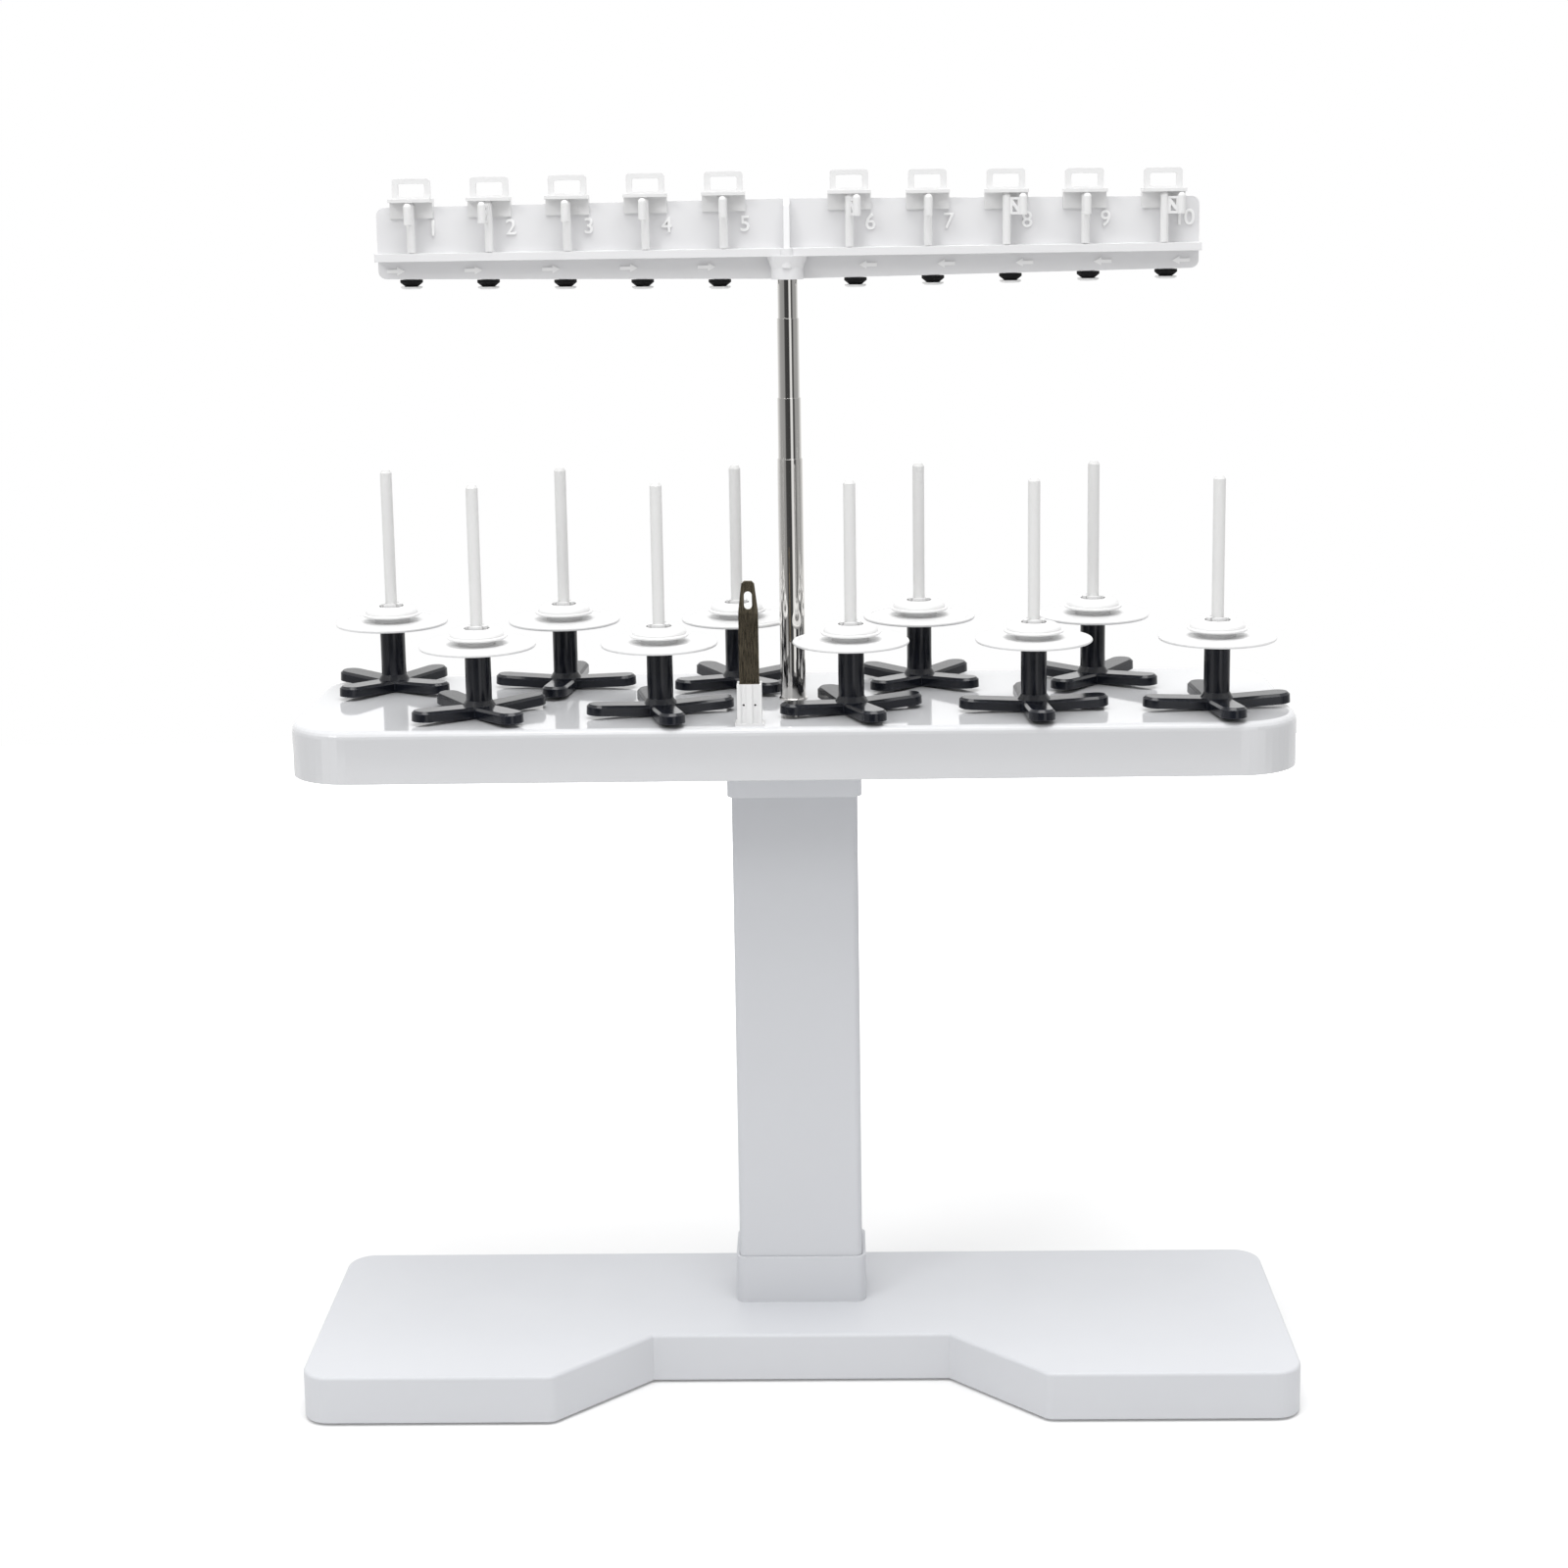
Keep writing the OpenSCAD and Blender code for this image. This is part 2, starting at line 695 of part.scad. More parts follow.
module cross_foot(k) {
    flare = (tube_root_dia - tube_dia) / 2;
    color("#202125")
        translate([spool_x(k), spool_y(k), tray_top + rest_gap])
            rotate([0, 0, CROSS_TURN[k - 1]])
                difference() {
                    union() {
                        for (turn = [0, 90, 180, 270])
                            rotate([0, 0, turn])
                                difference() {
                                    rotate([0, -leg_rise, 0])
                                        cross_leg();
                                    translate([0, 0, -leg_reach])
                                        cube([2 * leg_reach, 2 * leg_reach, 2 * leg_reach], center = true);
                                }
                        cylinder(d = tube_dia, h = cross_h);
                        cylinder(d = tube_root_dia, h = leg_t);
                        translate([0, 0, leg_t])
                            cylinder(d1 = tube_root_dia, d2 = tube_dia, h = flare * 1.5);
                    }
                    translate([0, 0, -CUT])
                        cylinder(d = pin_bore_dia, h = cross_h + 2 * CUT);
                }
}

// Half section of a cap: disc with a raised line near its rim, neck, domed top and finger ring
module cap_section() {
    disc_r = disc_dia / 2;
    dome_r = dome_dia / 2;
    rim_in = 3;
    square([disc_r - disc_t / 2, disc_t]);
    translate([disc_r - disc_t / 2, disc_t / 2])
        circle(disc_t / 2);
    translate([disc_r - rim_in, disc_t])
        circle(0.25, $fn = 16);
    square([neck_dia / 2, cap_neck_z + FUSE]);
    translate([0, cap_neck_z])
        square([dome_r - dome_rim_t / 2, dome_rim_t]);
    translate([dome_r - dome_rim_t / 2, cap_neck_z + dome_rim_t / 2])
        circle(dome_rim_t / 2);
    polygon([
        [0, cap_rim_top - FUSE], [dome_r - dome_rim_t, cap_rim_top - FUSE],
        for (a = [8:14:78]) [
            cap_flat_dia / 2 + (dome_r - dome_rim_t - cap_flat_dia / 2) * cos(a),
            cap_rim_top + (dome_rise - finger_h) * sin(a)],
        [cap_flat_dia / 2, cap_top - finger_h], [0, cap_top - finger_h]]);
    square([finger_dia / 2, cap_top]);
}

module spool_cap(k) {
    slot_w = 1.2;
    slot_r = 0.9;
    finger_root_z = cap_neck_z;
    color("whitesmoke")
        translate([spool_x(k), spool_y(k), tray_top + 2 * rest_gap + cross_h])
            difference() {
                rotate_extrude()
                    cap_section();
                translate([0, 0, -CUT])
                    cylinder(d = pin_bore_dia, h = cap_top + 2 * CUT);
                // A ring-shaped relief and radial slots set the spring fingers free
                translate([0, 0, finger_root_z])
                    difference() {
                        cylinder(d = finger_dia + 2 * slot_r, h = cap_top);
                        translate([0, 0, -CUT])
                            cylinder(d = finger_dia, h = cap_top + 2 * CUT);
                    }
                for (turn = [0:360 / finger_count:359])
                    rotate([0, 0, turn + 45])
                        translate([pin_dia / 4, -slot_w / 2, finger_root_z])
                            cube([finger_dia / 2, slot_w, cap_top]);
            }
}

// Pole

// One pole stage from its lower to its upper end
module stage_tube(n, z0, z1) {
    color("silver")
        translate([0, stand_y, z0])
            difference() {
                cylinder(d = stage_od(n), h = z1 - z0);
                translate([0, 0, -CUT])
                    cylinder(d = stage_od(n) - 2 * stage_wall, h = z1 - z0 + 2 * CUT);
            }
}

module pole_stage(n) {
    if (n == 1)
        stage_tube(1, tray_z + cover_t, stage_1_top);
    if (n == 2)
        stage_tube(2, stage_1_top - stage_inside, stage_2_top);
    if (n == 3)
        stage_tube(3, stage_2_top - stage_inside, stage_3_top);
    if (n == 4)
        stage_tube(4, stage_3_top - stage_inside, bar_z + stage_seat);
}

module pole_ferrule() {
    outer = stage_od(1) + 2 * ferrule_wall;
    color("silver")
        translate([0, stand_y, tray_top - ferrule_h])
            difference() {
                union() {
                    cylinder(d = outer, h = 2 * ferrule_h - 0.3);
                    translate([0, 0, 2 * ferrule_h - 0.3])
                        cylinder(d1 = outer, d2 = outer - 0.6, h = 0.3);
                }
                translate([0, 0, -CUT])
                    cylinder(d = stage_od(1) + 0.04, h = 2 * ferrule_h + 2 * CUT);
            }
}

// Guide bar

// Front view of the tapering plate with rounded corners
module bar_outline() {
    half = bar_w / 2;
    corner_r = 3.5;
    top_end = bar_h - bar_top_drop;
    difference() {
        polygon([
            [0, 0], [half, bar_bottom_rise], [half, top_end], [0, bar_h], [-half, top_end], [-half, bar_bottom_rise]]);
        for (sx = [-1, 1], low = [0, 1])
            translate([sx * (half - corner_r), low == 1 ? bar_bottom_rise + corner_r : top_end - corner_r])
                difference() {
                    translate([sx > 0 ? 0 : -2 * corner_r, low == 1 ? -2 * corner_r : 0])
                        square(2 * corner_r);
                    circle(corner_r);
                }
    }
}

module guide_bar() {
    boss_h = shelf_z;
    color("white")
        difference() {
            union() {
                translate([0, plate_back_y, bar_z])
                    rotate([90, 0, 0])
                        linear_extrude(bar_t)
                            bar_outline();
                // Shelf that carries the levers' lower pivots
                translate([-bar_w / 2, shelf_front_y, bar_z + shelf_z])
                    cube([bar_w, shelf_out + bar_t / 2, shelf_t]);
                // Middle rib above the shelf, sloping down to its front
                translate([-centre_rib_w / 2, 0, bar_z])
                    rotate([90, 0, 90])
                        linear_extrude(centre_rib_w)
                            polygon([
                                [plate_front_y + bar_t / 2, bar_h], [plate_front_y, bar_h],
                                [plate_front_y - shelf_out * 0.35, bar_h - 3],
                                [shelf_front_y + 1, shelf_z + shelf_t], [shelf_front_y + 1, shelf_z],
                                [plate_front_y + bar_t / 2, shelf_z]]);
                // Boss for the pole with its bell-shaped shoulder and nose
                translate([0, stand_y, bar_z])
                    cylinder(d = boss_dia, h = boss_h + FUSE);
                translate([0, stand_y, bar_z + boss_h / 2])
                    cylinder(d1 = boss_dia, d2 = boss_dia + 4, h = boss_h / 2 + FUSE);
                translate([0, shelf_front_y + 0.6, bar_z + boss_h / 2])
                    cylinder(d = 2 * centre_rib_w, h = boss_h / 2 + shelf_t);
                // Bosses behind the plate for the clamp studs
                for (k = STATIONS)
                    translate([clamp_x(k), clamp_y, bar_bottom_at(clamp_x(k)) - clamp_drop])
                        cylinder(d = clamp_boss_dia, h = shelf_z);
            }
            translate([0, stand_y, bar_z - CUT])
                cylinder(d = stage_od(4) + 0.04, h = stage_seat + CUT);
            for (k = STATIONS) {
                translate([station_x(k), lever_y, bar_z + shelf_z - CUT])
                    cylinder(d = pivot_dia + 2 * pivot_fit, h = shelf_t + 2 * CUT);
                translate([clamp_x(k), clamp_y, bar_bottom_at(clamp_x(k)) - clamp_drop - CUT])
                    cylinder(d = stem_dia + 0.04, h = stem_len + CUT);
            }
        }
}

module clamp_rubbers() {
    color("#1c1c1e")
        for (k = STATIONS)
            translate([clamp_x(k), clamp_y, bar_bottom_at(clamp_x(k)) - clamp_drop - rubber_h])
                difference() {
                    union() {
                        cylinder(d1 = rubber_neck_dia, d2 = rubber_dia, h = rubber_h * 0.6);
                        translate([0, 0, rubber_h * 0.6])
                            cylinder(d = rubber_dia, h = rubber_h * 0.4);
                    }
                    translate([0, 0, -CUT])
                        cylinder(d = stem_dia + 0.04, h = rubber_h + 2 * CUT);
                }
}

module clamp_studs() {
    color("whitesmoke")
        for (k = STATIONS)
            translate([clamp_x(k), clamp_y, bar_bottom_at(clamp_x(k)) - clamp_drop - rubber_h - stud_t]) {
                cylinder(d1 = stud_dia - 2, d2 = stud_dia, h = stud_t / 2);
                translate([0, 0, stud_t / 2])
                    cylinder(d = stud_dia, h = stud_t / 2);
                translate([0, 0, stud_t / 2])
                    cylinder(d = stem_dia, h = stud_t / 2 + rubber_h + stem_len - FUSE);
            }
}

// Saddle, lip and window frame of one clip, in side and front view
module thread_clip(k) {
    edge_z = bar_top_at(station_x(k));
    lip_z = edge_z + lip_over_edge;
    saddle_front = plate_front_y - saddle_fit - saddle_wall;
    saddle_back = plate_back_y + saddle_fit + saddle_wall;
    frame_y = (plate_front_y + plate_back_y) / 2 - frame_t / 2;
    frame_r = 1.5;
    window_z = lip_t + window_sill;
    color("white")
        translate([station_x(k), 0, lip_z])
            difference() {
                union() {
                    translate([-clip_w / 2, saddle_front, -saddle_h])
                        cube([clip_w, saddle_back - saddle_front, saddle_h + lip_t]);
                    translate([-clip_w / 2, lip_front_y, 0])
                        cube([clip_w, saddle_back - lip_front_y, lip_t]);
                    translate([0, frame_y + frame_t, lip_t - FUSE])
                        rotate([90, 0, 0])
                            linear_extrude(frame_t)
                                translate([0, (frame_h + FUSE) / 2])
                                    rounded_rect(frame_w, frame_h + FUSE, frame_r);
                }
                translate([-clip_w / 2 - CUT, plate_front_y - saddle_fit, -saddle_h - CUT])
                    cube([clip_w + 2 * CUT, bar_t + 2 * saddle_fit, saddle_h - lip_over_edge + saddle_seat + CUT]);
                translate([0, frame_y + frame_t + CUT, window_z + window_h / 2])
                    rotate([90, 0, 0])
                        linear_extrude(frame_t + 2 * CUT)
                            rounded_rect(window_w, window_h, 0.8);
                translate([0, lever_y, -CUT])
                    cylinder(d = pivot_dia + 2 * pivot_fit, h = lip_t + 2 * CUT);
            }
}

// One tension lever: post with two pivots, and a flag of two webs with windows and a bead
module tension_lever(k) {
    post_z = shelf_top + lever_gap;
    post_h = bar_top_at(station_x(k)) + lip_over_edge - lever_gap - post_z;
    flag_z = post_h - flag_h;
    bead_y = flag_reach - bead_dia / 2;
    web = 1.1;
    color("white")
        translate([station_x(k), lever_y, post_z])
            rotate([0, 0, LEVER_SWING[k - 1]]) {
                cylinder(d = post_dia, h = post_h - post_crown);
                translate([0, 0, post_h - post_crown - FUSE])
                    cylinder(d1 = post_dia, d2 = pivot_dia + 0.2, h = post_crown + FUSE);
                translate([0, 0, -pivot_len - lever_gap])
                    cylinder(d = pivot_dia, h = post_h + 2 * (pivot_len + lever_gap));
                translate([0, -bead_y, flag_z])
                    cylinder(d = bead_dia, h = flag_h - bead_dia / 2);
                translate([0, -bead_y, flag_z + flag_h - bead_dia / 2])
                    sphere(d = bead_dia);
                translate([flag_t / 2, 0, flag_z])
                    rotate([90, 0, -90])
                        linear_extrude(flag_t)
                            difference() {
                                square([bead_y, flag_h - bead_dia / 2]);
                                polygon([
                                    [post_dia / 2 + web, web], [bead_y - bead_dia / 2 - web / 2, web],
                                    [post_dia / 2 + web, flag_h / 2 - web / 2]]);
                                polygon([
                                    [bead_y - bead_dia / 2 - web / 2, flag_h - bead_dia / 2 - web],
                                    [post_dia / 2 + web, flag_h - bead_dia / 2 - web],
                                    [bead_y - bead_dia / 2 - web / 2, flag_h / 2 - web]]);
                            }
            }
}

// Tweezers and holder

// Front view of the blades: narrow top, widest a third of the way down, tapering tips
module blade_front() {
    top = blade_top_w / 2;
    wide = blade_w / 2;
    height = tweezers_h - tweezers_floor;
    top_r = 1.2;
    polygon([
        [-1, 0], [1, 0], [wide, holder_h * 0.7], [wide, height * 0.78], [top, height - top_r],
        [top - top_r, height], [-top + top_r, height], [-top, height - top_r],
        [-wide, height * 0.78], [-wide, holder_h * 0.7]]);
}

// Side view of both blades, joined at the top and sprung apart below
module blade_side() {
    height = tweezers_h - tweezers_floor;
    joined = height - blade_joined_h;
    half = blade_gap / 2;
    spread_z = holder_h * 0.9;
    tip = 0.25;
    for (sy = [-1, 1])
        scale([sy, 1])
            polygon([
                [0, height], [0, joined], [half, spread_z], [tip, 0],
                [tip + blade_t, 0], [half + blade_t, spread_z], [blade_t, joined], [blade_t, height]]);
}

module tweezers() {
    height = tweezers_h - tweezers_floor;
    color("#6f6658")
        translate([tweezers_x, tweezers_y, tray_top + tweezers_floor])
            difference() {
                intersection() {
                    translate([-blade_w / 2 - CUT, 0, 0])
                        rotate([90, 0, 90])
                            linear_extrude(blade_w + 2 * CUT)
                                blade_side();
                    translate([0, holder_d / 2, 0])
                        rotate([90, 0, 0])
                            linear_extrude(holder_d)
                                blade_front();
                }
                translate([0, holder_d / 2, height - 4.5 - blade_slot_h / 2])
                    rotate([90, 0, 0])
                        linear_extrude(holder_d)
                            rounded_rect(blade_slot_w, blade_slot_h, blade_slot_w / 2 - 0.01);
            }
}

module tweezers_holder() {
    groove_w = 2.6;
    groove_d = 0.8;
    ridge_w = 2.4;
    hole_dia = 1;
    toe = 1;
    color("whitesmoke")
        translate([tweezers_x, holder_front_y, tray_top])
            difference() {
                union() {
                    translate([-holder_w / 2, 0, 0])
                        cube([holder_w, holder_d, holder_h]);
                    for (sx = [-1, 1])
                        translate([sx * holder_w / 2, holder_d / 2, toe / 2])
                            cube([2 * toe, holder_d, toe], center = true);
                }
                translate([-pocket_w / 2, holder_front_wall, tweezers_floor])
                    cube([pocket_w, pocket_d, holder_h]);
                for (sx = [-1, 1]) {
                    translate([sx * (ridge_w + groove_w) / 2 - groove_w / 2, -CUT, toe])
                        cube([groove_w, groove_d + CUT, holder_h - toe + CUT]);
                    translate([sx * (ridge_w + groove_w) / 2, -CUT, holder_h / 2])
                        rotate([-90, 0, 0])
                            cylinder(d = hole_dia, h = holder_front_wall + 2 * CUT);
                }
            }
}

base_shell();
base_bottom();
rubber_feet();
column();
column_collar();
column_screws();
tray_shell();
tray_bottom();
cover_screws();
spool_pins();
for (n = [1:4])
    pole_stage(n);
pole_ferrule();
guide_bar();
clamp_rubbers();
clamp_studs();
tweezers();
tweezers_holder();
for (k = STATIONS) {
    cross_foot(k);
    spool_cap(k);
    thread_clip(k);
    tension_lever(k);
}
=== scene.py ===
"""Looks of the ten-spool thread rack: materials, raised marks, camera and studio.

All lengths are in metres.
"""

import math

import bpy
from mathutils import Matrix, Vector


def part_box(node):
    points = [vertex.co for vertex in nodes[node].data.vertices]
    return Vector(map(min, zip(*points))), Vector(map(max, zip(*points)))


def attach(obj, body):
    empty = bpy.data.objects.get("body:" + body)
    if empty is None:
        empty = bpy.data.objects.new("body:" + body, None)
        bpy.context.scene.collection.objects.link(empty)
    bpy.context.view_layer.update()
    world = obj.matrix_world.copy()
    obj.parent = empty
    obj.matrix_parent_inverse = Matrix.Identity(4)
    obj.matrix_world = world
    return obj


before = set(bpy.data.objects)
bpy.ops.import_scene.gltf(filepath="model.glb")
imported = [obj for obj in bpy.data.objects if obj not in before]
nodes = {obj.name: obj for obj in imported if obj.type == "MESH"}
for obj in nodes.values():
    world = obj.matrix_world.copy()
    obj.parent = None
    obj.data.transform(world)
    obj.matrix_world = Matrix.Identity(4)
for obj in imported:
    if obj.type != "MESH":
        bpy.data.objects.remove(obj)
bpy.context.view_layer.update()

MM = 0.001
STATIONS = range(1, 11)


# Node helpers


def new_material(name):
    """A node material with its Principled shader and output."""
    mat = bpy.data.materials.new(name)
    mat.use_nodes = True
    tree = mat.node_tree
    tree.nodes.clear()
    out = tree.nodes.new("ShaderNodeOutputMaterial")
    shader = tree.nodes.new("ShaderNodeBsdfPrincipled")
    tree.links.new(shader.outputs["BSDF"], out.inputs["Surface"])
    return mat, tree, shader


def object_coords(tree, stretch=(1, 1, 1)):
    """Object coordinates, stretched along the axes."""
    coord = tree.nodes.new("ShaderNodeTexCoord")
    mapping = tree.nodes.new("ShaderNodeMapping")
    mapping.inputs["Scale"].default_value = stretch
    tree.links.new(coord.outputs["Object"], mapping.inputs["Vector"])
    return mapping.outputs["Vector"]


def noise(tree, vector, size, detail, roughness=0.5):
    """Noise whose cells are about size across."""
    tex = tree.nodes.new("ShaderNodeTexNoise")
    tex.inputs["Scale"].default_value = 1 / size
    tex.inputs["Detail"].default_value = detail
    tex.inputs["Roughness"].default_value = roughness
    tree.links.new(vector, tex.inputs["Vector"])
    return tex.outputs["Fac"]


def spread(tree, value, low, high, from_low=0.3, from_high=0.7):
    """Maps a value to the range low to high, by default from the range that noise has."""
    node = tree.nodes.new("ShaderNodeMapRange")
    node.inputs["From Min"].default_value = from_low
    node.inputs["From Max"].default_value = from_high
    node.inputs["To Min"].default_value = low
    node.inputs["To Max"].default_value = high
    tree.links.new(value, node.inputs["Value"])
    return node.outputs["Result"]


def blend_colours(tree, value, first, second):
    """Mixes two colours by a value from 0 to 1."""
    node = tree.nodes.new("ShaderNodeMix")
    node.data_type = "RGBA"
    node.inputs["A"].default_value = (*first, 1)
    node.inputs["B"].default_value = (*second, 1)
    tree.links.new(value, node.inputs["Factor"])
    return node.outputs["Result"]


def bump(tree, height, depth, strength, normal=None):
    """Bump of a given depth, on top of another normal where one is given."""
    node = tree.nodes.new("ShaderNodeBump")
    node.inputs["Strength"].default_value = strength
    node.inputs["Distance"].default_value = depth
    tree.links.new(height, node.inputs["Height"])
    if normal is not None:
        tree.links.new(normal, node.inputs["Normal"])
    return node.outputs["Normal"]


def calculate(tree, operation, value):
    """A Math node with its first input linked."""
    node = tree.nodes.new("ShaderNodeMath")
    node.operation = operation
    tree.links.new(value, node.inputs[0])
    return node


BEVEL_SAMPLES = 6
# Cosine between the rounded and the true normal: on an edge, and on a flat face
EDGE_COSINE = 0.72
FLAT_COSINE = 0.995


def soft_edges(tree, radius):
    """Normals that round the sharp edges of a piece."""
    node = tree.nodes.new("ShaderNodeBevel")
    node.samples = BEVEL_SAMPLES
    node.inputs["Radius"].default_value = radius
    return node.outputs["Normal"]


def edge_mask(tree, rounded):
    """A value that rises from 0 to 1 where the rounded normal leaves the true one."""
    geometry = tree.nodes.new("ShaderNodeNewGeometry")
    dot = tree.nodes.new("ShaderNodeVectorMath")
    dot.operation = "DOT_PRODUCT"
    tree.links.new(geometry.outputs["Normal"], dot.inputs[0])
    tree.links.new(rounded, dot.inputs[1])
    return spread(tree, dot.outputs["Value"], 1.0, 0.0, EDGE_COSINE, FLAT_COSINE)


def scaled(colour, factor):
    """A colour made lighter or darker."""
    return tuple(min(1.0, c * factor) for c in colour)


# Materials

# Size of the patches of roughness, as a share of the clouds in the colour
PATCH_SHARE = 0.3
# Least and most roughness in the patches of plastic and in the marks of metal, as shares
PLASTIC_ROUGHS = (0.85, 1.2)
METAL_ROUGHS = (0.7, 1.5)
GRAIN_STRENGTH = 0.6
MARKS_STRENGTH = 0.5
METAL_EDGE = 0.0002
RUBBER_BLOOM = 0.002
RUBBER_PATCH = 0.001
RUBBER_GRAIN = 0.0003
RUBBER_GRAIN_DEPTH = 0.00002
RUBBER_ROUGHS = (0.55, 0.85)
RUBBER_DUST = 1.8


def moulded(name, colour, rough, grain, grain_depth, cloud, gloss, shade, edge=0.0, edge_highlight=1.0):
    """Injection-moulded plastic: clouding in the colour, fine tool grain and, where edge is its
    radius, soft edges whose colour is lightened by a factor, a painted highlight along the edges."""
    mat, tree, shader = new_material(name)
    where = object_coords(tree)
    rounded = soft_edges(tree, edge) if edge > 0 else None
    clouds = spread(tree, noise(tree, where, cloud, 4.0), 0.0, 1.0)
    body = blend_colours(tree, clouds, scaled(colour, shade), colour)
    # Painted highlight: the colour along the rounded edges is made lighter by a factor
    if rounded is not None:
        mixed = tree.nodes.new("ShaderNodeMix")
        mixed.data_type = "RGBA"
        mixed.inputs["B"].default_value = (*scaled(colour, edge_highlight), 1)
        tree.links.new(body, mixed.inputs["A"])
        tree.links.new(edge_mask(tree, rounded), mixed.inputs["Factor"])
        body = mixed.outputs["Result"]
    tree.links.new(body, shader.inputs["Base Color"])
    patches = noise(tree, where, cloud * PATCH_SHARE, 5.0, 0.6)
    least, most = (rough * share for share in PLASTIC_ROUGHS)
    tree.links.new(spread(tree, patches, least, most), shader.inputs["Roughness"])
    fine = noise(tree, where, grain, 2.0)
    tree.links.new(bump(tree, fine, grain_depth, GRAIN_STRENGTH, rounded), shader.inputs["Normal"])
    shader.inputs["Specular IOR Level"].default_value = gloss
    return mat


def metal(name, colour, rough, stretch, streak, depth, shade):
    """Plated or polished metal with drawing marks, which run along the axis that is stretched."""
    mat, tree, shader = new_material(name)
    where = object_coords(tree, stretch)
    marks = noise(tree, where, streak, 4.0, 0.6)
    tint = blend_colours(tree, spread(tree, marks, 0.0, 1.0), scaled(colour, shade), colour)
    tree.links.new(tint, shader.inputs["Base Color"])
    least, most = (rough * share for share in METAL_ROUGHS)
    tree.links.new(spread(tree, marks, least, most), shader.inputs["Roughness"])
    rounded = soft_edges(tree, METAL_EDGE)
    tree.links.new(bump(tree, marks, depth, MARKS_STRENGTH, rounded), shader.inputs["Normal"])
    shader.inputs["Metallic"].default_value = 1.0
    return mat


def rubber(name, colour, gloss):
    """Matt rubber with a dusty bloom."""
    mat, tree, shader = new_material(name)
    where = object_coords(tree)
    bloom = spread(tree, noise(tree, where, RUBBER_BLOOM, 4.0), 0.0, 1.0)
    tint = blend_colours(tree, bloom, colour, scaled(colour, RUBBER_DUST))
    tree.links.new(tint, shader.inputs["Base Color"])
    patches = noise(tree, where, RUBBER_PATCH, 3.0)
    tree.links.new(spread(tree, patches, *RUBBER_ROUGHS), shader.inputs["Roughness"])
    fine = noise(tree, where, RUBBER_GRAIN, 2.0)
    tree.links.new(bump(tree, fine, RUBBER_GRAIN_DEPTH, MARKS_STRENGTH), shader.inputs["Normal"])
    shader.inputs["Specular IOR Level"].default_value = gloss
    return mat


# Where an edge radius is given, a factor above 1 lightens the edges: a painted highlight
TRAY_WHITE = moulded(
    "tray_plastic", (0.615, 0.62, 0.635), rough=0.07, grain=0.003, grain_depth=0.000002,
    cloud=0.12, gloss=0.9, shade=0.99, edge=0.0005, edge_highlight=1.02)
BAR_WHITE = moulded(
    "bar_plastic", (0.765, 0.765, 0.775), rough=0.34, grain=0.0006, grain_depth=0.000004,
    cloud=0.05, gloss=0.5, shade=0.98, edge=0.00025, edge_highlight=1.03)
CLIP_WHITE = moulded(
    "clip_plastic", (0.775, 0.775, 0.775), rough=0.32, grain=0.0005, grain_depth=0.000003,
    cloud=0.01, gloss=0.5, shade=0.98, edge=0.00015, edge_highlight=1.0)
# The raised marks are the bar's plastic made lighter: a painted highlight, which also lifts them
# out of the shelf's shade
MARK_HIGHLIGHT_WHITE = moulded(
    "mark_plastic_painted_highlight", (0.93, 0.93, 0.93), rough=0.32, grain=0.0005, grain_depth=0.000003,
    cloud=0.01, gloss=0.5, shade=0.98)
CAP_WHITE = moulded(
    "cap_plastic", (0.775, 0.775, 0.775), rough=0.36, grain=0.0006, grain_depth=0.000003,
    cloud=0.02, gloss=0.45, shade=0.985)
STAND_GREY = moulded(
    "stand_plastic", (0.605, 0.615, 0.64), rough=0.44, grain=0.0005, grain_depth=0.000015,
    cloud=0.10, gloss=0.45, shade=0.985, edge=0.0005, edge_highlight=1.03)
# The collar is the stand's plastic made lighter: painted light that makes up for the shade the
# tray casts on it
COLLAR_LIGHTENED_GREY = moulded(
    "collar_plastic_painted_light", (0.72, 0.73, 0.755), rough=0.44, grain=0.0005, grain_depth=0.000015,
    cloud=0.10, gloss=0.45, shade=0.985, edge=0.0005, edge_highlight=1.03)
COVER_GREY = moulded(
    "cover_plastic", (0.55, 0.56, 0.58), rough=0.5, grain=0.0005, grain_depth=0.00002,
    cloud=0.08, gloss=0.4, shade=0.95)
PIN_WHITE = moulded(
    "pin_plastic", (0.73, 0.73, 0.725), rough=0.45, grain=0.0006, grain_depth=0.000002,
    cloud=0.02, gloss=0.3, shade=0.98)
# The black feet's edges, five times lighter than the rest, are a painted highlight
FOOT_BLACK = moulded(
    "foot_plastic", (0.009, 0.0105, 0.016), rough=0.18, grain=0.0006, grain_depth=0.000005,
    cloud=0.012, gloss=0.45, shade=0.7, edge=0.00035, edge_highlight=5.0)
CHROME = metal(
    "pole_chrome", (0.80, 0.785, 0.76), rough=0.05, stretch=(1, 1, 0.05), streak=0.0015,
    depth=0.00001, shade=0.92)
BLADE = metal(
    "blade_steel", (0.235, 0.20, 0.145), rough=0.24, stretch=(1, 1, 0.05), streak=0.0004,
    depth=0.000003, shade=0.9)
SCREW = metal(
    "screw_steel", (0.55, 0.55, 0.56), rough=0.3, stretch=(1, 1, 1), streak=0.001,
    depth=0.00001, shade=0.8)
RUBBER = rubber("black_rubber", (0.004, 0.004, 0.0045), gloss=0.2)

